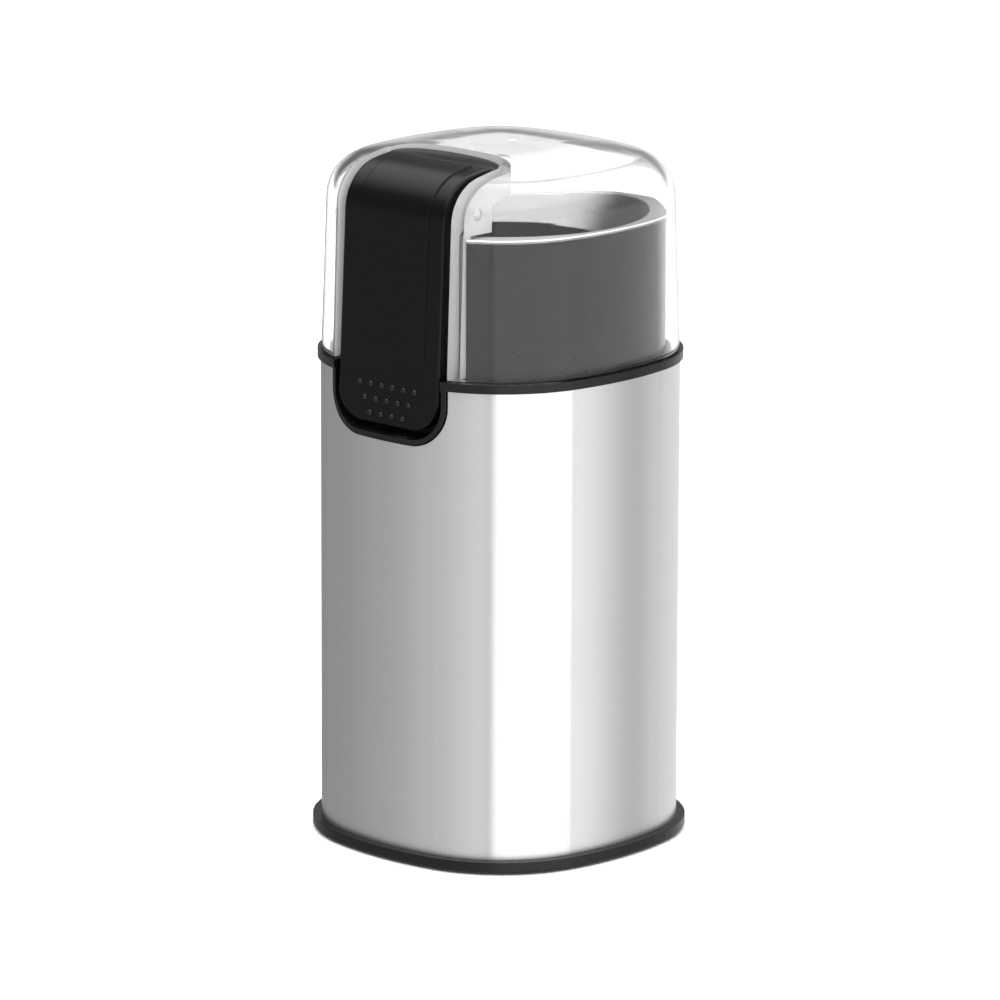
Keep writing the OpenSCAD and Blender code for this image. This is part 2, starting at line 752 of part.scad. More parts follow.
// Windings: a bar in every slot and the rounded end turns
module armature_winding() {
    end_r = arm_d / 2 - 1;
    color("#c06a28") translate([0, 0, stack_z]) {
        for (i = [0:arm_slots - 1]) rotate(360 * i / arm_slots)
            translate([arm_d / 2 - 6 + fit, -1.3 + fit, -0.5]) cube([4.8, 2.6 - 2 * fit, stack_h + 1]);
        for (side = [0, 1]) translate([0, 0, side * stack_h]) mirror([0, 0, 1 - side])
            rotate_extrude() polygon([[shaft_r + 0.3, 0.05], [end_r, 0.05], [end_r, 3.4], [end_r - 1.2, 5],
                [end_r - 4, 5.6], [shaft_r + 0.3, 5]]);
    }
}

module commutator() {
    color("#c98746") translate([0, 0, comm_z]) difference() {
        union() {
            cylinder(r = comm_d / 2, h = comm_h);
            translate([0, 0, comm_h - 2]) cylinder(r = comm_d / 2 + 1, h = 2);
        }
        translate([0, 0, -1]) cylinder(r = shaft_r, h = comm_h + 2);
        slot_ring(comm_d / 2, 0.5, 1, comm_bars, comm_h);
    }
}

module each_brush() {
    for (a = [0, 180]) rotate(a) translate([0, comm_d / 2, low_plate_z + plate_t + 1.8]) children();
}

module brush_holders() {
    color("goldenrod") each_brush() translate([-4, 1.5, 0]) difference() {
        cube([8, 16, 8]);
        translate([0.7, -1, 0.7]) cube([6.6, 15.8, 6.6]);
    }
}

module carbon_brushes() {
    color("#333436") difference() {
        each_brush() translate([-3.2, -1, 0.8]) cube([6.4, 9, 6.4]);
        translate([0, 0, comm_z - 10]) cylinder(r = comm_d / 2 + 0.15, h = 40);
    }
}

module brush_springs() {
    color("silver") each_brush() translate([0, 8.1, 4]) rotate([-90, 0, 0])
        coil_spring(2, 0.5, 5, 8);
}

module cooling_fan() {
    hub_r = shaft_r + 3;
    color("#e4e4de") translate([0, 0, fan_z]) difference() {
        union() {
            cylinder(r = hub_r, h = fan_h);
            translate([0, 0, fan_h - 1.4]) cylinder(r = fan_d / 2, h = 1.4);
            for (i = [0:fan_blades - 1]) rotate(360 * i / fan_blades) translate([hub_r - 1, 0, 0.8])
                rotate(-24) translate([0, -0.6, 0]) cube([fan_d / 2 - hub_r, 1.2, fan_h - 1.2]);
        }
        translate([0, 0, -1]) cylinder(r = shaft_r, h = fan_h + 2);
    }
}

// Rubber rings between the motor and the bosses that carry it
module vibration_mounts() {
    color("#2f2f31") for (x = [-1, 1]) translate([x * bolt_x, 0, top_bar_z + bar_t])
        tube(3.9, bolt_r + fit, mount_h);
}

module motor_screws() {
    color("gainsboro") for (x = [-1, 1]) translate([x * bolt_x, 0, 0]) {
        translate([0, 0, low_plate_z - 2.2]) cylinder(r = 2.8, h = 2.2);
        translate([0, 0, low_plate_z - eps]) cylinder(r = bolt_r, h = boss_z + 8 - low_plate_z);
    }
}

// ---- Switch ----

// Rod from the lever to the switch: tip, shank, stop flange and nose
module switch_plunger() {
    r = plunger_d / 2;
    color("#e9e6dc") {
        rod_y(r - 0.6, plunger_tip, plunger_tip + 0.6, plunger_z);
        rod_y(r, plunger_tip + 0.6 - eps, flange_y, plunger_z);
        rod_y(flange_r, flange_y, flange_y + flange_t, plunger_z);
        rod_y(1.5, flange_y + flange_t - eps, switch_y - 0.2, plunger_z);
    }
}

module plunger_spring() {
    y0 = flange_y + flange_t + fit;
    color("silver") translate([0, y0, plunger_z]) rotate([-90, 0, 0])
        coil_spring(2.5, spring_wire, 3, plate_y - y0);
}

module switch_body() {
    s = switch_size;
    color("#26262a") difference() {
        union() {
            translate([-s.x / 2, switch_y + stand_off, switch_z]) cube(s);
            for (x = [-1, 1]) translate([x * (s.x / 2 - 1.2) - 1.2, switch_y, switch_z])
                cube([2.4, stand_off + eps, s.z]);
        }
        rod_y(1.7 + run, switch_y - 1, switch_y + stand_off + 6.6, plunger_z);
    }
}

module switch_button() {
    color("#a83232") rod_y(1.7, switch_y + 0.2, switch_y + stand_off + 3, plunger_z);
}

// ---- Lid and lever ----

// Frame of the lever's leaning face: its foot at the origin, Z up the lean and Y inwards
module on_lean() {
    translate([0, turn_y, turn_z]) rotate([-lean_deg, 0, 0]) translate([0, -turn_r, -lean_run]) children();
}

// Follows the lever's face line from a foot of width w and corner r, low being its height up the lean;
// the first section is for the face and the top, the second for the shoulder, which stands a witness line proud.
// A section is x = outwards from the face, y = along X
module lever_run(w, low, r, top_end) {
    lap = 0.4;
    lap_deg = 0.5;
    on_lean() intersection() {
        translate([0, 0, low - 1]) rotate(-90) linear_extrude(lean_run - low + 1 + lap) children(0);
        along_y(-9, 9) foot_shape(w, low, r, lean_run + 9);
    }
    translate([0, turn_y, turn_z]) rotate([90, 0, 90])
        rotate_extrude(angle = turn_deg, start = 180 - lean_deg - turn_deg) translate([turn_r, 0]) children(1);
    translate([0, top_y, top_z]) rotate([90, 0, 90])
        rotate_extrude(angle = top_end + lap_deg, start = 90 + top_slope - top_end, $fn = 720)
            translate([top_r, 0]) children(0);
}

module lever_section(grow) {
    w = lever_w + 2 * grow;
    t = lever_t + 2 * grow;
    r = lever_edge;
    translate([grow, 0]) {
        translate([-t, -w / 2]) square([t - r, w]);
        translate([-t, -w / 2 + r]) square([t, w - 2 * r]);
        for (y = [-1, 1]) translate([-r, y * (w / 2 - r)]) circle(r);
    }
}

module panel_section(grow) {
    root = 0.5;
    translate([-root, -panel_w / 2 - grow]) square([root + panel_h + grow, panel_w + 2 * grow]);
}

// U-shaped foot of the lever or of its panel, seen from the front
module foot_shape(w, z, r, top) {
    translate([-w / 2, z + r]) square([w, top - z - r]);
    translate([-w / 2 + r, z]) square([w - 2 * r, r + eps]);
    for (x = [-1, 1]) translate([x * (w / 2 - r), z + r]) circle(r);
}

// Point at a distance and an angle from another
function around(c, r, a) = c + r * [cos(a), sin(a)];

module lever() {
    hollow_w = lever_w - 3.6;
    panel_low = 13.7;
    turn_c = [turn_y, turn_z];
    arm = pivot - turn_c;
    arm_deg = atan2(arm.y, arm.x);
    ear = [around(turn_c, turn_r - 1.5, arm_deg + 24), around(pivot, ear_r, arm_deg + 90),
        around(pivot, ear_r, arm_deg - 90), around(turn_c, turn_r - 1.5, arm_deg - 24)];
    color("#17171a") difference() {
        union() {
            lever_run(lever_w, 0, lever_r, top_deg) {
                lever_section(0);
                lever_section(witness);
            }
            lever_run(panel_w, panel_low, 3.3, top_deg - 2) {
                panel_section(0);
                panel_section(witness);
            }
            for (x = [-1, 1]) translate([x * (lever_w - ear_t) / 2, 0, 0]) along_x(ear_t) union() {
                polygon(ear);
                translate(pivot) circle(ear_r);
            }
        }
        // Hollow back with a pad left for the plunger and a rib across the bend
        difference() {
            on_lean() along_y(lever_face, lever_t + 1)
                foot_shape(hollow_w, 1.8, lever_r - 1.8, lean_run + 3);
            rod_y(plunger_d / 2 + 0.6, -60, 0, plunger_z);
            on_lean() rod_x(0.9, -lever_w, lever_w, [lever_face + 0.3, lean_run - 1.5]);
        }
        rod_x(pin_d / 2 + run, -30, 30, pivot);
    }
}

module lever_pin() {
    reach = channel_w / 2 + wall - 0.3;
    color("lightgray") rod_x(pin_d / 2, -reach, reach, pivot);
}

// Half section of the lid, its skin moved in by t: wall, shoulder arc and dome, each tangent to the next
module lid_section(t, z0) {
    r = shoulder_r - t;
    shoulder = [shoulder_a, shoulder_z];
    dome = [core_a, lid_top - dome_r];
    foot = [lid_a - t, z0];
    away = foot - shoulder;
    leaves = atan2(away.y, away.x) + acos(r / norm(away));
    polygon([[core_a, z0], foot, around(shoulder, r, leaves), shoulder, [core_a, shoulder_z]]);
    translate(shoulder) circle(r);
    polygon([[core_a, shoulder_z], shoulder, around(shoulder, r - 0.02, 87 - dome_lean),
        for (i = [7:-1:0]) around(dome, dome_r - t, 90 - dome_lean * i / 8)]);
}

module lid_solid(t, z0) {
    sweep_outline() lid_section(t, z0);
    translate([0, 0, z0]) linear_extrude(lid_top - t - z0) outline(core_a);
}

// Side view of the lever's channel, its floor moved back by t
module channel_side(t) {
    c = (1 - t / wall) * ledge_cut;
    polygon([[-80, lid_z - 1], [channel_y + t, lid_z - 1], [channel_y + t, ledge_z - t - c],
        [channel_y + t + c, ledge_z - t], [back_y + t, ledge_z - t], [back_y + t, pivot.y + 2],
        [rear_y + t, pivot.y + 4], [rear_y + t, lid_top + 20], [-80, lid_top + 20]]);
}

module lid_shell() {
    color("lightcyan", 0.4) difference() {
        lid_solid(0, lid_z);
        difference() {
            lid_solid(lid_t, lid_z - 1);
            along_x(channel_w + 2 * wall) channel_side(wall);
        }
        along_x(channel_w) channel_side(0);
        rod_x(pin_d / 2 + 0.02, -channel_w / 2 - wall - 0.1, channel_w / 2 + wall + 0.1, pivot);
    }
}

metal_sleeve();
base_cover();
rubber_feet();
base_screws();
cord_gland();
suppressor_capacitor();
inner_housing();
cup_surround();
top_collar();
bowl();
shaft_seal();
blade();
blade_nut();
rotor_shaft();
upper_bearing();
lower_bearing();
upper_bracket();
lower_bracket();
stator_core();
field_coils();
armature_core();
armature_winding();
commutator();
brush_holders();
carbon_brushes();
brush_springs();
cooling_fan();
vibration_mounts();
motor_screws();
switch_plunger();
plunger_spring();
switch_body();
switch_button();
lever();
lever_pin();
lid_shell();
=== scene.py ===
import bpy
import bmesh
import json
import math
from mathutils import Matrix, Vector


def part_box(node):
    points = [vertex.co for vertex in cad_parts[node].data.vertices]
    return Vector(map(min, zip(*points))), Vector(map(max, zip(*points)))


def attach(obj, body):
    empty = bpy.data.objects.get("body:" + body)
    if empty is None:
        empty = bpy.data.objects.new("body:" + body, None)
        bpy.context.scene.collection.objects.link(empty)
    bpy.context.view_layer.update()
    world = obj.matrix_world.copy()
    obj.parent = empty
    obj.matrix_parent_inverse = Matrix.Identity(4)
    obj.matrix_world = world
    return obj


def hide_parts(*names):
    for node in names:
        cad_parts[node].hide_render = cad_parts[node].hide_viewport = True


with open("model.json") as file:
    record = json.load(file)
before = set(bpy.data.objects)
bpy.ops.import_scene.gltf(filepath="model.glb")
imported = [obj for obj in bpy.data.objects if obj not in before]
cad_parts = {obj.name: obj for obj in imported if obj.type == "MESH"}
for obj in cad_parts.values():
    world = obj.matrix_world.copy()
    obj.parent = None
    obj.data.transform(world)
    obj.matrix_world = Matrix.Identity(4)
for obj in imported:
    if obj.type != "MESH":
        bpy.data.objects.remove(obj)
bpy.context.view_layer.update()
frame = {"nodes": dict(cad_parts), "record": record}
nodes = frame["nodes"]
scene = bpy.context.scene
mm = 0.001
weld = 0.001 * mm  # points closer than this are one point
print("frame loaded:", len(nodes), "nodes")


def addObject(name, data):
    made = bpy.data.objects.new(name, data)
    scene.collection.objects.link(made)
    return made


# node trees: a class for a socket, one for a material's tree and one for a grown mesh

class Channel:
    def __init__(self, paint, socket):
        self.paint = paint
        self.socket = socket

    def maths(self, operation, first, second=0.0, third=0.0):
        return self.paint.node("ShaderNodeMath", {"operation": operation},
                               {0: first, 1: second, 2: third})

    def __add__(self, other):
        return self.maths("ADD", self, other)

    def __radd__(self, other):
        return self.maths("ADD", other, self)

    def __sub__(self, other):
        return self.maths("SUBTRACT", self, other)

    def __rsub__(self, other):
        return self.maths("SUBTRACT", other, self)

    def __mul__(self, other):
        return self.maths("MULTIPLY", self, other)

    def __rmul__(self, other):
        return self.maths("MULTIPLY", other, self)

    def __truediv__(self, other):
        return self.maths("DIVIDE", self, other)

    def __pow__(self, other):
        return self.maths("POWER", self, other)

    def __neg__(self):
        return self.maths("MULTIPLY", self, -1.0)

    def least(self, other):
        return self.maths("MINIMUM", self, other)

    def most(self, other):
        return self.maths("MAXIMUM", self, other)

    def step(self, low, high):  # 0 below low, 1 above high, smooth between
        return self.paint.node("ShaderNodeMapRange", {"interpolation_type": "SMOOTHSTEP"},
                               {0: self, 1: low, 2: high, 3: 0.0, 4: 1.0})

    def part(self, start, length):  # how far along a stretch, held at 0 before it and 1 after it
        return ((self - start) / length).most(0.0).least(1.0)

    def whole(self, margin):  # rounded down; the margin keeps a value just short of whole
        return self.maths("FLOOR", self + margin)

    def zigzag(self):  # 0 up to a half and back, once for each whole number
        return self.maths("PINGPONG", self, 0.5)

    def cos(self):
        return self.maths("COSINE", self)

    def sin(self):
        return self.maths("SINE", self)

    def into(self, low, high):  # a 0 to 1 value spread over a range
        return self.paint.node("ShaderNodeMapRange", {"interpolation_type": "LINEAR"},
                               {0: self, 1: 0.0, 2: 1.0, 3: low, 4: high})


class Paint:
    def __init__(self, owner):
        self.tree = owner.node_tree
        self.tree.nodes.clear()

    def node(self, kind, settings=None, sockets=None, output=0):
        made = self.tree.nodes.new(kind)
        for name, value in (settings or {}).items():
            if name == "stops":
                self.fillRamp(made.color_ramp, value)
            else:
                setattr(made, name, value)
        for name, value in (sockets or {}).items():
            if isinstance(value, Channel):
                self.tree.links.new(value.socket, made.inputs[name])
            else:
                made.inputs[name].default_value = value
        return Channel(self, made.outputs[output]) if made.outputs else None

    def fillRamp(self, ramp, stops):
        ramp.interpolation = "EASE"
        while len(ramp.elements) < len(stops):
            ramp.elements.new(1.0)
        for element, (place, shade) in zip(ramp.elements, stops):
            element.position = place
            element.color = (shade, shade, shade, 1.0)

    def place(self):  # object coordinates, in metres
        return self.node("ShaderNodeTexCoord", output="Object")

    def split(self, vector):
        parts = self.node("ShaderNodeSeparateXYZ", None, {0: vector})
        outputs = parts.socket.node.outputs
        return [Channel(self, outputs[i]) for i in range(3)]

    def join(self, x, y, z):
        return self.node("ShaderNodeCombineXYZ", None, {0: x, 1: y, 2: z})

    def stretched(self, vector, factors):
        return self.node("ShaderNodeMapping", None, {"Vector": vector, "Scale": factors})

    def noise(self, vector, scale, detail=2.0, roughness=0.5):
        return self.node("ShaderNodeTexNoise", None,
                         {"Vector": vector, "Scale": scale, "Detail": detail,
                          "Roughness": roughness})

    def cells(self, vector, scale):
        return self.node("ShaderNodeTexVoronoi", {"feature": "F1"},
                         {"Vector": vector, "Scale": scale})

    def blend(self, amount, first, second):  # two colours
        return self.node("ShaderNodeMix", {"data_type": "RGBA"},
                         {0: amount, 6: first, 7: second}, output=2)

    def bump(self, height, distance, edge=0.0002):  # edge is how far corners look rounded
        corner = self.node("ShaderNodeBevel", {"samples": 6}, {"Radius": edge})
        return self.node("ShaderNodeBump", None,
                         {"Height": height, "Distance": distance, "Normal": corner})

    def finish(self, sockets):
        shader = self.node("ShaderNodeBsdfPrincipled", None, sockets)
        self.node("ShaderNodeOutputMaterial", None, {"Surface": shader})


class Growth(Paint):  # a Geometry Nodes tree with named inputs
    def __init__(self, name, inputs):
        self.tree = bpy.data.node_groups.new(name, "GeometryNodeTree")
        panel = self.tree.interface
        panel.new_socket("Geometry", in_out="OUTPUT", socket_type="NodeSocketGeometry")
        self.sockets = {label: panel.new_socket(label, in_out="INPUT", socket_type="NodeSocket" + kind)
                        for label, kind in inputs.items()}
        self.entry = self.tree.nodes.new("NodeGroupInput")

    def given(self, label):
        return Channel(self, self.entry.outputs[label])

    def end(self, geometry):
        whole = self.node("GeometryNodeRealizeInstances", None, {"Geometry": geometry})
        painted = self.node("GeometryNodeSetMaterial", None,
                            {"Geometry": whole, "Material": self.given("material")})
        self.node("NodeGroupOutput", None, {"Geometry": painted})

    def grow(self, name, values):  # one plain mesh, on an object of its own
        carrier = addObject(name + "Carrier", bpy.data.meshes.new(name + "Seed"))
        modifier = carrier.modifiers.new("growth", "NODES")
        modifier.node_group = self.tree
        for label, value in values.items():
            modifier[self.sockets[label].identifier] = value
        return plainCopy(carrier, name)


def plainCopy(carrier, name):  # the evaluated shape as a mesh; the carrier goes
    shape = carrier.evaluated_get(bpy.context.evaluated_depsgraph_get())
    mesh = bpy.data.meshes.new_from_object(shape)
    mesh.name = name
    made = addObject(name, mesh)
    carrier.modifiers.clear()
    bpy.data.objects.remove(carrier)
    return made


def newMaterial(name):
    material = bpy.data.materials.new(name)
    material.use_nodes = True
    return material, Paint(material)


def grey(value):
    return (value, value, value, 1.0)


# finishes

def brushedSheet(name, look):  # fine lines along one direction
    material, paint = newMaterial(name)
    place = paint.place()
    run, fine, spread = look["run"], look["lines"], look["toneSpread"]
    broadRun, broadLines, broadShare = run / 3, fine / 40, 0.6
    lineRough, smudgeRough = 0.03, 0.02
    lines = paint.noise(paint.stretched(place, (run, run, fine)), 1.0, detail=4.0, roughness=0.6)
    broad = paint.noise(paint.stretched(place, (broadRun, broadRun, broadLines)), 1.0)
    smudge = paint.noise(place, look["smudge"], detail=3.0).step(0.35, 0.75)
    tone = (lines - 0.5) * spread + (broad - 0.5) * spread * broadShare + 0.5
    rough = look["roughness"] + (lines - 0.5) * lineRough + smudge * smudgeRough
    paint.finish({
        "Base Color": paint.blend(tone.most(0.0).least(1.0), look["darkColour"], look["lightColour"]),
        "Metallic": 1.0, "Roughness": rough,
        "Anisotropic": look["anisotropy"], "Anisotropic Rotation": look["turn"],
        "Normal": paint.bump(lines, look["lineDepth"])})
    return material


def turnedMetal(name, look):  # spun or turned round the upright axis
    material, paint = newMaterial(name)
    place = paint.place()
    x, y, z = paint.split(place)
    ringTone, cloudTone, cloudRough, rimHighlightFade = 0.8, 0.5, 0.04, 0.1 * mm
    radius = (x ** 2.0 + y ** 2.0) ** 0.5
    turned = paint.join(radius * look["rings"], z * look["rings"], 0.0)
    rings = paint.noise(turned, 1.0, detail=3.0, roughness=0.6)
    cloud = paint.noise(place, look["cloud"], detail=3.0)
    tone = ((rings - 0.5) * ringTone + (cloud - 0.5) * cloudTone + 0.5).most(0.0).least(1.0)
    edge = z.step(look["rimHighlightFrom"] - rimHighlightFade, look["rimHighlightFrom"])  # painted highlight: the bowl above this height is painted near white, standing in for the light on its rolled top edge
    paint.finish({
        "Base Color": paint.blend(edge, paint.blend(tone, look["darkColour"], look["lightColour"]),
                                  look["rimHighlightColour"]),
        "Metallic": 1.0,
        "Roughness": look["roughness"] + (rings - 0.5) * look["roughSpread"] + cloud * cloudRough,
        "Normal": paint.bump(rings, look["depth"])})
    return material


def platedMetal(name, look):  # zinc, tin or a rolled finish, with faint crystals
    material, paint = newMaterial(name)
    place = paint.place()
    crystalTone, cloudTone, smoother, rougher = 0.6, 0.4, 0.07, 0.09
    crystals = paint.cells(place, look["crystals"])
    cloud = paint.noise(place, look["crystals"] / 3, detail=4.0)
    tone = crystals * crystalTone + cloud * cloudTone
    paint.finish({
        "Base Color": paint.blend(tone, look["darkColour"], look["lightColour"]),
        "Metallic": 1.0,
        "Roughness": cloud.into(look["roughness"] - smoother, look["roughness"] + rougher),
        "Normal": paint.bump(crystals, look["depth"])})
    return material


def castMetal(name, look):  # die cast or sintered: grains, pores and a dull skin
    material, paint = newMaterial(name)
    place = paint.place()
    poreScale, stainScale = look["grain"] * 0.7, look["grain"] / 14
    grainDepth, poreDepth, smoother, rougher = 0.6, 0.4, 0.08, 0.12
    grain = paint.noise(place, look["grain"], detail=5.0, roughness=0.65)
    pores = paint.cells(place, poreScale).step(0.05, 0.25)
    stain = paint.noise(place, stainScale, detail=3.0)
    paint.finish({
        # painted shade: the colour is darkened in the pores
        "Base Color": paint.blend((grain * 0.5 + stain * 0.5) * pores,
                                  look["darkColour"], look["lightColour"]),
        "Metallic": look["metallic"],
        "Roughness": grain.into(look["roughness"] - smoother, look["roughness"] + rougher),
        "Normal": paint.bump(grain * grainDepth + pores * poreDepth, look["depth"])})
    return material


def mouldedPlastic(name, look):  # fine grain, faint flow marks and a little dust
    material, paint = newMaterial(name)
    place = paint.place()
    flowTone, grainTone, dustScale, dustRough = 0.7, 0.3, look["grain"] / 5, 0.06
    grain = paint.noise(place, look["grain"], detail=3.0, roughness=0.6)
    flow = paint.noise(place, look["flow"])
    dust = paint.noise(place, dustScale, detail=6.0, roughness=0.7).step(0.62, 0.78)
    tone = flow * flowTone + grain * grainTone
    paint.finish({
        "Base Color": paint.blend(dust * look["dust"],
                                  paint.blend(tone, look["darkColour"], look["lightColour"]),
                                  look["dustColour"]),
        "Roughness": look["roughness"] + (grain - 0.5) * look["roughSpread"] + dust * dustRough,
        "Specular IOR Level": look["specular"],
        "Normal": paint.bump(grain, look["depth"], look["edge"])})
    return material


def softRubber(name, look):  # matt, with a faint bloom
    material, paint = newMaterial(name)
    place = paint.place()
    bloomTone, grainTone, smoother, rougher = 0.7, 0.3, 0.08, 0.1
    grain = paint.noise(place, look["grain"], detail=4.0, roughness=0.7)
    bloom = paint.noise(place, look["grain"] / 9, detail=3.0).step(0.4, 0.8)
    tone = bloom * bloomTone + grain * grainTone
    paint.finish({
        "Base Color": paint.blend(tone, look["darkColour"], look["lightColour"]),
        "Roughness": grain.into(look["roughness"] - smoother, look["roughness"] + rougher),
        "Specular IOR Level": 0.35,
        "Normal": paint.bump(grain, look["depth"])})
    return material


def stackedSheets(name, look):  # laminations: thin dark seams between ground edges
    material, paint = newMaterial(name)
    place = paint.place()
    up = paint.split(place)[2]
    seam = (up / look["sheet"]).zigzag().step(0.02, 0.16)
    clean, rusty = 0.55, 0.45  # how much of the sheet's colour is even, and how much varies
    rust = paint.noise(place, look["rust"], detail=5.0, roughness=0.65)
    varnish = paint.noise(place, look["varnish"]).step(0.35, 0.7)
    paint.finish({
        "Base Color": paint.blend(seam * (clean + rust * rusty), look["seamColour"],
                                  paint.blend(varnish, look["darkColour"], look["lightColour"])),
        "Metallic": 0.85 * seam + 0.1, "Roughness": rust.into(0.32, 0.55),
        "Normal": paint.bump(seam, look["depth"])})
    return material


def woundWire(name, look):  # enamelled wire, laid side by side across the stated direction
    material, paint = newMaterial(name)
    place = paint.place()
    wander, gapDepth = 1.4, 0.45  # how far a wire strays and how deep the gaps look, in wires
    gapShadeShare, shadeTone = 0.7, 0.3
    wobble = paint.noise(place, look["wobble"])
    along = paint.split(place)[look["axis"]] + (wobble - 0.5) * look["wire"] * wander
    turn = (along / look["wire"]).zigzag() * 2.0
    crown = (1.0 - (1.0 - turn) ** 2.0) ** 0.5
    shade = paint.noise(paint.join(along / look["wire"], 0.0, 0.0), 0.9, detail=0.0)
    paint.finish({
        # painted shade: the colour darkens from each wire's crown into the gaps between turns
        "Base Color": paint.blend(crown * gapShadeShare + shade * shadeTone,
                                  look["darkColour"], look["lightColour"]),
        "Metallic": 0.75, "Roughness": shade.into(0.24, 0.38), "Coat Weight": 0.4,
        "Normal": paint.bump(crown, look["wire"] * gapDepth)})
    return material


def clearPlastic(name, look):  # see-through, with slight waves and haze
    material, paint = newMaterial(name)
    place = paint.place()
    flow = paint.noise(paint.stretched(place, (1.0, 1.0, look["flowDown"])), look["flow"])
    haze = paint.noise(place, look["haze"], detail=5.0, roughness=0.65).step(0.5, 0.8)
    facing = paint.node("ShaderNodeLayerWeight", None, {"Blend": 0.5}, output="Facing")
    outlineShade = facing.step(look["outlineShadeFrom"], 1.0)  # painted shade: where the lid is seen edge-on its colour is painted near black, standing in for the dark outline clear plastic shows there; the plastic is also thicker to look through at its outline
    paint.finish({
        "Base Color": paint.blend(outlineShade, paint.blend(haze, look["lightColour"], look["darkColour"]),
                                  look["outlineShadeColour"]),
        "Roughness": haze.into(look["roughness"], look["hazeRoughness"]),
        "IOR": look["ior"], "Transmission Weight": 1.0,
        "Normal": paint.bump(flow, look["waves"], look["edge"])})
    return material


blackGrain = {"grain": 2600.0, "flow": 34.0, "depth": 0.000012, "roughSpread": 0.10, "dust": 0.05,
              "dustColour": grey(0.16), "specular": 0.32, "edge": 0.0002}


def blackPlastic(name, low, high, roughness, **changes):
    look = dict(blackGrain, darkColour=grey(low), lightColour=grey(high), roughness=roughness)
    look.update(changes)
    return mouldedPlastic(name, look)


noRimHighlight = 1.0  # metres, above everything here, so no painted highlight is drawn
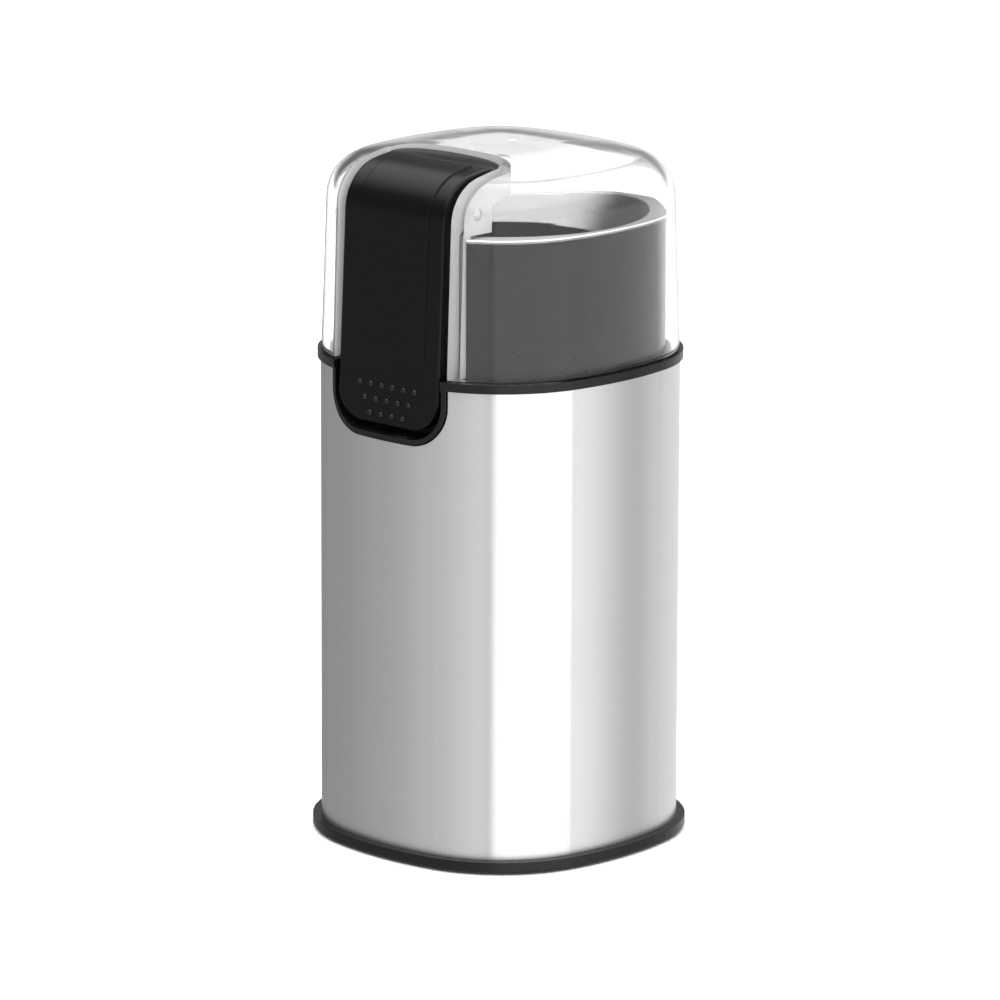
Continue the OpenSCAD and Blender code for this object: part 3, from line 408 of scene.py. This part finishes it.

finishes = {
    "sleeve_steel": brushedSheet("sleeveSteel", {
        "run": 14.0, "lines": 5200.0, "lineDepth": 0.0000005, "smudge": 38.0, "toneSpread": 0.28,
        "darkColour": grey(0.68), "lightColour": grey(0.80), "roughness": 0.27,
        "anisotropy": 0.86, "turn": 0.25}),
    "bowl_steel": turnedMetal("bowlSteel", {
        "rings": 2600.0, "cloud": 55.0, "depth": 0.000002,
        "darkColour": grey(0.2), "lightColour": grey(0.32), "roughness": 0.2, "roughSpread": 0.07,
        # painted highlight: the bowl's top 0.3 mm is painted near white
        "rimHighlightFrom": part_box("bowl")[1][2] - 0.0003, "rimHighlightColour": grey(0.95)}),
    "shaft_steel": turnedMetal("shaftSteel", {
        "rings": 5200.0, "cloud": 90.0, "depth": 0.000002,
        "darkColour": grey(0.42), "lightColour": grey(0.6), "roughness": 0.22, "roughSpread": 0.08,
        "rimHighlightFrom": noRimHighlight, "rimHighlightColour": grey(0.6)}),
    "commutator_copper": turnedMetal("commutatorCopper", {
        "rings": 4200.0, "cloud": 140.0, "depth": 0.000004,
        "darkColour": (0.42, 0.2, 0.1, 1), "lightColour": (0.78, 0.44, 0.24, 1),
        "roughness": 0.26, "roughSpread": 0.12, "rimHighlightFrom": noRimHighlight, "rimHighlightColour": (0.78, 0.44, 0.24, 1)}),
    "blade_steel": brushedSheet("bladeSteel", {
        "run": 2400.0, "lines": 2400.0, "lineDepth": 0.0000012, "smudge": 160.0, "toneSpread": 0.4,
        "darkColour": grey(0.62), "lightColour": grey(0.82), "roughness": 0.18,
        "anisotropy": 0.0, "turn": 0.0}),
    "pin_steel": brushedSheet("pinSteel", {
        "run": 4000.0, "lines": 60.0, "lineDepth": 0.0000012, "smudge": 160.0, "toneSpread": 0.4,
        "darkColour": grey(0.55), "lightColour": grey(0.75), "roughness": 0.2,
        "anisotropy": 0.0, "turn": 0.0}),
    "spring_steel": brushedSheet("springSteel", {
        "run": 900.0, "lines": 900.0, "lineDepth": 0.0000015, "smudge": 300.0, "toneSpread": 0.6,
        "darkColour": grey(0.4), "lightColour": grey(0.66), "roughness": 0.24,
        "anisotropy": 0.0, "turn": 0.0}),
    "zinc_steel": platedMetal("zincPlate", {
        "crystals": 1500.0, "depth": 0.000006, "roughness": 0.34,
        "darkColour": (0.46, 0.48, 0.52, 1), "lightColour": (0.72, 0.74, 0.76, 1)}),
    "brush_brass": platedMetal("brushBrass", {
        "crystals": 900.0, "depth": 0.000004, "roughness": 0.3,
        "darkColour": (0.56, 0.38, 0.12, 1), "lightColour": (0.84, 0.66, 0.3, 1)}),
    "bracket_aluminium": castMetal("castAluminium", {
        "grain": 1300.0, "depth": 0.00002, "roughness": 0.46, "metallic": 0.95,
        "darkColour": grey(0.45), "lightColour": grey(0.74)}),
    "sintered_bronze": castMetal("sinteredBronze", {
        "grain": 2200.0, "depth": 0.00003, "roughness": 0.44, "metallic": 0.9,
        "darkColour": (0.3, 0.18, 0.07, 1), "lightColour": (0.66, 0.46, 0.24, 1)}),
    "carbon": castMetal("pressedCarbon", {
        "grain": 2400.0, "depth": 0.000012, "roughness": 0.5, "metallic": 0.25,
        "darkColour": grey(0.02), "lightColour": grey(0.07)}),
    "lamination_steel": stackedSheets("laminations", {
        "sheet": 0.5 * mm, "depth": 0.00004, "rust": 260.0, "varnish": 60.0, "seamColour": grey(0.05),
        "darkColour": (0.2, 0.21, 0.23, 1), "lightColour": (0.36, 0.38, 0.4, 1)}),
    "copper_winding": woundWire("copperWire", {
        "axis": 2, "wire": 0.5 * mm, "wobble": 130.0,
        "darkColour": (0.16, 0.05, 0.015, 1), "lightColour": (0.66, 0.27, 0.1, 1)}),
    "black_plastic": blackPlastic("ringPlastic", 0.004, 0.006, 0.28, specular=0.3),
    "housing_plastic": blackPlastic("housingPlastic", 0.006, 0.009, 0.26, specular=0.3,
                                    grain=5200.0, depth=0.000002),
    "lever_plastic": blackPlastic("leverPlastic", 0.003, 0.004, 0.26, specular=0.16,
                                  edge=0.0005, grain=5200.0, depth=0.000003),
    "gland_plastic": blackPlastic("glandPlastic", 0.014, 0.022, 0.42),
    "motor_plastic": blackPlastic("motorPlastic", 0.022, 0.04, 0.48,
                                  grain=1400.0, depth=0.00003, dust=0.16),
    "switch_plastic": blackPlastic("switchPlastic", 0.016, 0.026, 0.4),
    "button_plastic": mouldedPlastic("buttonPlastic", dict(blackGrain, roughness=0.34, specular=0.5,
        darkColour=(0.42, 0.03, 0.025, 1), lightColour=(0.6, 0.07, 0.05, 1))),
    "plunger_plastic": mouldedPlastic("acetal", dict(blackGrain, roughness=0.36, specular=0.5,
        dust=0.1, darkColour=(0.7, 0.67, 0.58, 1), lightColour=(0.84, 0.82, 0.75, 1))),
    "fan_plastic": mouldedPlastic("fanPlastic", dict(blackGrain, roughness=0.4, specular=0.5,
        dust=0.3, darkColour=(0.62, 0.6, 0.54, 1), lightColour=(0.8, 0.78, 0.72, 1))),
    "capacitor_case": mouldedPlastic("capacitorCase", dict(blackGrain, roughness=0.2, specular=0.5,
        depth=0.000006, darkColour=(0.55, 0.33, 0.05, 1), lightColour=(0.75, 0.5, 0.1, 1))),
    "foot_rubber": softRubber("footRubber", {
        "grain": 1600.0, "depth": 0.00004, "roughness": 0.72,
        "darkColour": grey(0.012), "lightColour": grey(0.035)}),
    "seal_rubber": softRubber("sealRubber", {
        "grain": 1900.0, "depth": 0.00003, "roughness": 0.6,
        "darkColour": grey(0.03), "lightColour": grey(0.06)}),
    "mount_rubber": softRubber("mountRubber", {
        "grain": 1500.0, "depth": 0.00004, "roughness": 0.75,
        "darkColour": grey(0.015), "lightColour": grey(0.04)}),
    "clear_plastic": clearPlastic("clearPlastic", {
        "flow": 60.0, "flowDown": 0.45, "haze": 90.0, "waves": 0.00006, "edge": 0.0003,
        "roughness": 0.01, "hazeRoughness": 0.022,
        "ior": 1.3,  # lower than real, to keep reflections off the dark wall behind
        # painted shade on the lid's outline, where it is seen edge-on
        "outlineShadeFrom": 0.68, "outlineShadeColour": grey(0.05),
        "lightColour": (0.985, 0.99, 0.99, 1), "darkColour": (0.96, 0.97, 0.97, 1)}),
}

for part in frame["record"]["subparts"]:
    target = nodes[part["node"]].data
    target.materials.clear()
    target.materials.append(finishes[part["material_slot"]])
print("finishes set:", len(finishes))


# outline shared by sleeve, rings and lid: four bulged faces and four corners

square = {"sideCentre": 39.5 * mm, "cornerCentre": 10 * mm, "coreIn": 11 * mm,
          "faceSteps": 10, "cornerSteps": 28}
span = math.atan2(square["cornerCentre"], square["cornerCentre"] + square["sideCentre"])


def squareOutline(half, column):  # x and y of a field's column round the outline
    steps = square["faceSteps"] + square["cornerSteps"]
    quarter = (column / steps).whole(0.001)
    step = column - quarter * steps
    face = step.part(0, square["faceSteps"]) * (2 * span) - (math.pi / 2 + span)
    meet = span - math.pi / 2  # where a face's arc hands over to a corner's
    corner = step.part(square["faceSteps"], square["cornerSteps"]) * (math.pi / 2 - 2 * span) + meet
    faceRadius, cornerRadius = half + square["sideCentre"], half - square["coreIn"]
    x = faceRadius * face.cos() + cornerRadius * (corner.cos() - math.cos(meet))
    y = faceRadius * face.sin() + cornerRadius * (corner.sin() - math.sin(meet)) + square["sideCentre"]
    turn = quarter * (math.pi / 2)
    return x * turn.cos() - y * turn.sin(), x * turn.sin() + y * turn.cos()


# lid: one moulding, swept round the outline, with the lever's channel cut out of it

lid = {"half": 41.4 * mm, "foot": 123.8 * mm, "top": 174.99 * mm, "wall": 1.9 * mm, "draft": 1.3 * mm,
       "shoulder": 11 * mm, "dome": 82 * mm, "core": 11.5 * mm,
       "floorSteps": 2, "wallSteps": 10, "shoulderSteps": 24, "domeSteps": 18, "capSteps": 4,
       "channelWidth": 38.8 * mm, "channelWall": 1.8 * mm,
       "pastFoot": 1 * mm, "pastTop": 20 * mm, "pastFront": -80 * mm}  # the cutters reach this far
press = {"pivotY": -30.0046 * mm, "pivotZ": 163.7 * mm, "earRadius": 2.6 * mm, "gap": 0.4 * mm,
         "channelY": -34.2586 * mm, "ledgeCut": 2 * mm, "rearY": -20.3026 * mm,
         "slopeFrom": 2 * mm, "slopeTo": 4 * mm,  # heights over the pivot
         "pinRadius": 1.5 * mm, "pinPlay": 0.02 * mm, "pinPast": 0.2 * mm, "pinSteps": 32}
tip = {"root": -21.6 * mm, "end": -14 * mm, "half": 18.2 * mm, "top": 173.62 * mm, "rise": 0.5 * mm,
       "thick": 2.4 * mm, "gap": 0.5 * mm, "cutFrom": -40 * mm, "steps": 40, "sidePower": 0.7,
       "endPower": 0.8, "sag": 0.35 * mm, "round": 1.1 * mm, "roundSteps": 4, "roundAbove": 50}
gate = {"place": (0.0, 4.2 * mm), "radius": 1.2 * mm, "steps": 32, "flat": 0.6}
sharpAbove = 30  # degrees, and faces that meet at less look smooth
below, above = lid["foot"] - lid["pastFoot"], lid["top"] + lid["pastTop"]


def makeSkinTree():  # a grid whose rows climb the profile and whose columns go round the outline
    lengths = ("shoulderHalf", "shoulderZ", "radius", "leaves", "footHalf", "footZ", "lean", "domeRadius")
    tree = Growth("lidSkin", {**{name: "Float" for name in lengths}, "material": "Material"})
    given = tree.given
    rows = 1 + sum(lid[part + "Steps"] for part in ("floor", "wall", "shoulder", "dome", "cap"))
    columns = 4 * (square["faceSteps"] + square["cornerSteps"]) + 1
    sheet = tree.node("GeometryNodeMeshGrid", None, {"Vertices X": columns, "Vertices Y": rows})
    index = tree.node("GeometryNodeInputIndex")
    column = (index / rows).whole(0.5 / rows)
    row = index - column * rows
    start = lid["floorSteps"]
    wall = row.part(start, lid["wallSteps"])
    start += lid["wallSteps"]
    arrives = math.pi / 2 - given("lean")
    bend = given("leaves") + row.part(start, lid["shoulderSteps"]) * (arrives - given("leaves"))
    start += lid["shoulderSteps"]
    crown = arrives + row.part(start, lid["domeSteps"]) * given("lean")
    start += lid["domeSteps"]
    wallHalf = given("shoulderHalf") + given("radius") * given("leaves").cos()
    wallZ = given("shoulderZ") + given("radius") * given("leaves").sin()
    half = (given("footHalf") + (wallHalf - given("footHalf")) * wall
            + given("radius") * (bend.cos() - given("leaves").cos())
            + given("domeRadius") * (crown.cos() - given("lean").sin()))
    z = (given("footZ") + (wallZ - given("footZ")) * wall
         + given("radius") * (bend.sin() - given("leaves").sin())
         + given("domeRadius") * (crown.sin() - given("lean").cos()))
    spread = row.part(0, lid["floorSteps"]) * (1 - row.part(start, lid["capSteps"]))
    x, y = squareOutline(half, column)
    placed = tree.node("GeometryNodeSetPosition", None,
                       {"Geometry": sheet, "Position": tree.join(x * spread, y * spread, z)})
    tree.end(tree.node("GeometryNodeMergeByDistance", None, {"Geometry": placed, "Distance": weld}))
    return tree


def lidSkin(tree, name, inset, footZ):  # the lid's closed outer shape, or one inset by a wall
    shoulderHalf = lid["half"] - lid["draft"] - lid["shoulder"]
    lean = math.asin((shoulderHalf - lid["core"]) / (lid["dome"] - lid["shoulder"]))
    shoulderZ = lid["top"] - lid["dome"] + (lid["dome"] - lid["shoulder"]) * math.cos(lean)
    radius, footHalf = lid["shoulder"] - inset, lid["half"] - inset
    away = (footHalf - shoulderHalf, footZ - shoulderZ)
    return tree.grow(name, {
        "shoulderHalf": shoulderHalf, "shoulderZ": shoulderZ, "radius": radius, "lean": lean,
        "leaves": math.atan2(away[1], away[0]) + math.acos(radius / math.hypot(*away)),
        "footHalf": footHalf, "footZ": footZ, "domeRadius": lid["dome"] - inset,
        "material": finishes["clear_plastic"]})


def bridged(name, near, far):  # a solid between two like outlines, faces outwards
    count = len(near)
    walls = [(i, (i + 1) % count, (i + 1) % count + count, i + count) for i in range(count)]
    ends = [tuple(range(count))[::-1], tuple(range(count, 2 * count))]
    mesh = bpy.data.meshes.new(name)
    mesh.from_pydata(near + far, [], walls + ends)
    turned = bmesh.new()
    turned.from_mesh(mesh)
    bmesh.ops.remove_doubles(turned, verts=turned.verts, dist=weld)
    bmesh.ops.recalc_face_normals(turned, faces=turned.faces)
    turned.to_mesh(mesh)
    turned.free()
    return addObject(name, mesh)


def prism(name, outline, width):  # a (y, z) outline drawn out along X
    return bridged(name, *([(side * width / 2, y, z) for y, z in outline] for side in (-1, 1)))


def slab(name, outline, low, high):  # an (x, y) plan drawn out upright
    return bridged(name, *([(x, y, z) for x, y in outline] for z in (low, high)))


def carve(base, name, *cutters):  # the base less its cutters, which go
    for cutter in cutters:
        cut = base.modifiers.new("cut", "BOOLEAN")
        cut.operation, cut.solver, cut.object = "DIFFERENCE", "EXACT", cutter
    made = plainCopy(base, name)
    for cutter in cutters:
        bpy.data.objects.remove(cutter)
    return made


def channelSide(back):  # the channel seen from the side, moved back by a wall's thickness
    chamfer = (1 - back / lid["channelWall"]) * press["ledgeCut"]
    ledge = press["pivotZ"] - press["earRadius"] - press["gap"] - back
    front = press["channelY"] + back
    ears = press["pivotY"] + press["earRadius"] + press["gap"] + back
    rear = press["rearY"] + back
    return [(lid["pastFront"], below), (front, below), (front, ledge - chamfer),
            (front + chamfer, ledge), (ears, ledge), (ears, press["pivotZ"] + press["slopeFrom"]),
            (rear, press["pivotZ"] + press["slopeTo"]), (rear, above), (lid["pastFront"], above)]


def pinOutline():
    radius, turns = press["pinRadius"] + press["pinPlay"], press["pinSteps"]
    angles = [2 * math.pi * i / turns for i in range(turns)]
    return [(press["pivotY"] + radius * math.cos(a), press["pivotZ"] + radius * math.sin(a))
            for a in angles]


def tipOutline(grow, root):  # plan of the rounded end, clockwise from its left root
    half, depth = tip["half"] + grow, tip["end"] + grow - tip["root"]
    curve = []
    for i in range(tip["steps"] + 1):
        angle = math.pi * (1 - i / tip["steps"])
        across = math.copysign(abs(math.cos(angle)) ** tip["sidePower"], math.cos(angle))
        curve.append((half * across, tip["root"] + depth * abs(math.sin(angle)) ** tip["endPower"]))
    return [(-half, root)] + curve + [(half, root)]


def gateMark():  # the shallow dimple that the moulding leaves on top
    ball = bmesh.new()
    bmesh.ops.create_uvsphere(ball, u_segments=gate["steps"], v_segments=gate["steps"] // 2,
                              radius=gate["radius"])
    bmesh.ops.scale(ball, vec=(1, 1, gate["flat"]), verts=ball.verts)
    bmesh.ops.translate(ball, vec=(*gate["place"], lid["top"]), verts=ball.verts)
    mesh = bpy.data.meshes.new("gate")
    ball.to_mesh(mesh)
    ball.free()
    return addObject("gate", mesh)


def smooth(piece):
    piece.data.shade_smooth()
    piece.data.set_sharp_from_angle(angle=math.radians(sharpAbove))
    return piece


skinTree = makeSkinTree()
outer = lidSkin(skinTree, "lidOuter", 0.0, lid["foot"])
inner = lidSkin(skinTree, "lidInner", lid["wall"], below)
thick, wide = lid["channelWall"], lid["channelWidth"] + 2 * lid["channelWall"]
pocketFloor = tip["top"] - tip["thick"] - tip["gap"]
hollow = carve(inner, "lidHollow",
               prism("channelWall", channelSide(thick), wide),
               slab("pocketWall", tipOutline(tip["gap"] + thick, tip["cutFrom"]),
                    pocketFloor - thick, above))
clearLid = carve(outer, "clearLid", hollow,
                 prism("channel", channelSide(0.0), lid["channelWidth"]),
                 slab("pocket", tipOutline(tip["gap"], tip["cutFrom"]), pocketFloor, above),
                 prism("pinHole", pinOutline(), wide + press["pinPast"]),
                 gateMark())
smooth(clearLid)
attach(clearLid, "lid")
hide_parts("lid_shell")
print("lid:", len(clearLid.data.polygons), "faces")


# the lever's rounded end, which lies in the lid's top

tipBlank = slab("tipBlank", tipOutline(0.0, tip["root"]), tip["top"] - tip["thick"], tip["top"])
for vertex in tipBlank.data.vertices:  # it rises towards the dome's middle and sags to its sides
    share = (vertex.co.y - tip["root"]) / (tip["end"] - tip["root"])
    vertex.co.z += tip["rise"] * share * (2 - share) - tip["sag"] * (vertex.co.x / tip["half"]) ** 2
rounding = tipBlank.modifiers.new("rounding", "BEVEL")
rounding.width, rounding.segments, rounding.limit_method = tip["round"], tip["roundSteps"], "ANGLE"
rounding.angle_limit = math.radians(tip["roundAbove"])
leverTip = smooth(plainCopy(tipBlank, "leverTip"))
leverTip.data.materials.append(finishes["lever_plastic"])
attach(leverTip, "lever")
print("lever's end:", len(leverTip.data.polygons), "faces")


# grip: raised dots on the lever's foot, six in the top row and one fewer in each row below

grip = {"columns": 6, "rows": 3, "segments": 16, "rings": 8,
        "inputs": {"pitch": 3.75 * mm, "rowPitch": 3.62 * mm, "top": 119.3 * mm,
                   "radius": 0.8 * mm, "height": 0.75, "start": -60 * mm}}


def makeGripTree():  # points in rows before the lever, cast back onto it, with a flat ball on each
    tree = Growth("gripDots", {"lever": "Object", **{name: "Float" for name in grip["inputs"]},
                               "material": "Material"})
    given, columns = tree.given, grip["columns"]
    index = tree.node("GeometryNodeInputIndex")
    row = (index / columns).whole(0.01)
    column = index - row * columns
    x = (column - (columns - 1) / 2 + row * 0.5) * given("pitch")
    place = tree.join(x, given("start"), given("top") - row * given("rowPitch"))
    seeds = tree.node("GeometryNodePoints", None,
                      {"Count": columns * grip["rows"], "Position": place})
    spare = column.maths("GREATER_THAN", column + row, columns - 0.5)
    kept = tree.node("GeometryNodeDeleteGeometry", {"domain": "POINT"},
                     {"Geometry": seeds, "Selection": spare})
    lever = tree.node("GeometryNodeObjectInfo", None, {"Object": given("lever")}, output="Geometry")
    hit = tree.node("GeometryNodeRaycast", None,
                    {"Target Geometry": lever, "Ray Direction": (0, 1, 0), "Ray Length": 1.0},
                    output="Hit Position")
    normal = Channel(tree, hit.socket.node.outputs["Hit Normal"])
    landed = tree.node("GeometryNodeSetPosition", None, {"Geometry": kept, "Position": hit})
    ball = tree.node("GeometryNodeMeshUVSphere", None,
                     {"Segments": grip["segments"], "Rings": grip["rings"], "Radius": given("radius")})
    dot = tree.node("GeometryNodeTransform", None,
                    {"Geometry": ball, "Scale": tree.join(1.0, 1.0, given("height"))})
    facing = tree.node("FunctionNodeAlignRotationToVector", {"axis": "Z"}, {"Vector": normal})
    dots = tree.node("GeometryNodeInstanceOnPoints", None,
                     {"Points": landed, "Instance": dot, "Rotation": facing})
    tree.end(tree.node("GeometryNodeSetShadeSmooth", None, {"Geometry": dots}))
    return tree


gripDots = makeGripTree().grow("gripDots", {
    "lever": nodes["lever"], **grip["inputs"],
    # painted highlight: the dots are painted lighter than the lever's plastic, so they read as catching
    # light
    "material": blackPlastic("gripHighlightPlastic", 0.006, 0.01, 0.24, specular=0.34)})
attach(gripDots, "lever")
print("grip:", len(gripDots.data.polygons), "faces")


# studio: camera, floor, surrounding light

view = {"azimuth": 43.9, "elevation": 13.5, "roll": 0.2, "distance": 1.8, "aim": (0.0, 0.0, 0.084),
        "lens": 259.2, "sensor": 36.0, "farthest": 50.0}

around, lift = math.radians(view["azimuth"]), math.radians(view["elevation"])
aim = Vector(view["aim"])
stand = aim + view["distance"] * Vector((math.sin(around) * math.cos(lift),
                                         -math.cos(around) * math.cos(lift), math.sin(lift)))
cameraData = bpy.data.cameras.new("camera")
cameraData.lens = view["lens"]
cameraData.sensor_width = view["sensor"]
cameraData.clip_end = view["farthest"]
camera = addObject("camera", cameraData)
turn = (aim - stand).to_track_quat("-Z", "Y").to_matrix().to_4x4()
roll = Matrix.Rotation(math.radians(view["roll"]), 4, "Z")
camera.matrix_world = Matrix.Translation(stand) @ turn @ roll
scene.camera = camera

studio = {"floorHalf": 7.0, "paperDark": 0.9, "paperLight": 0.92, "paperGrain": 400.0,
          "topLight": 2.9, "topFrom": 0.5, "topTo": 0.75, "sideDark": 0.6, "darkFrom": 0.02, "darkTo": 0.14,
          # heading in degrees (0 towards the lever, 90 to the right) and how bright the wall is there
          "wall": [(-180, 0.9), (-136, 0.9), (-130, 0.4), (-112, 0.3), (-90, 0.36), (-67, 0.38),
                   (-44, 0.48), (-21, 0.66), (28, 0.88), (31, 0.86), (33.5, 0.4), (36, 1.1), (40, 1.7),
                   (105, 1.7), (116, 1.2), (146, 0.6), (158, 0.85), (180, 0.9)]}

floorMesh = bpy.data.meshes.new("floor")
reach = studio["floorHalf"]
corners = [(-reach, -reach, 0), (reach, -reach, 0), (reach, reach, 0), (-reach, reach, 0)]
floorMesh.from_pydata(corners, [], [(0, 1, 2, 3)])
floor = addObject("floor", floorMesh)
floor.visible_glossy = False  # the steel mirrors the studio's walls, not the table
floorMaterial, floorPaint = newMaterial("floorPaper")
paper = floorPaint.noise(floorPaint.place(), studio["paperGrain"], detail=3.0)
floorPaint.finish({
    "Base Color": floorPaint.blend(paper, grey(studio["paperDark"]), grey(studio["paperLight"])),
    "Roughness": 0.9, "Specular IOR Level": 0.1})
floorMesh.materials.append(floorMaterial)

world = bpy.data.worlds.new("studio")
scene.world = world
world.use_nodes = True
sky = Paint(world)
east, north, up = sky.split(sky.node("ShaderNodeTexCoord", output="Generated"))
angle = east.maths("ARCTAN2", east, -north) / (2 * math.pi) + 0.5
brightest = max(shade for place, shade in studio["wall"])
stops = [((place + 180) / 360, shade / brightest) for place, shade in studio["wall"]]
wall = sky.node("ShaderNodeValToRGB", {"stops": stops}, {0: angle}) * brightest
ceiling = up.step(studio["topFrom"], studio["topTo"])
side = wall * (1 - up.step(studio["darkFrom"], studio["darkTo"]) * studio["sideDark"])
strength = side * (1 - ceiling) + studio["topLight"] * ceiling
light = sky.node("ShaderNodeBackground", None, {"Color": (1, 1, 1, 1), "Strength": strength})
sky.node("ShaderNodeOutputWorld", None, {"Surface": light})

scene.view_settings.view_transform = "Standard"
print("studio ready")
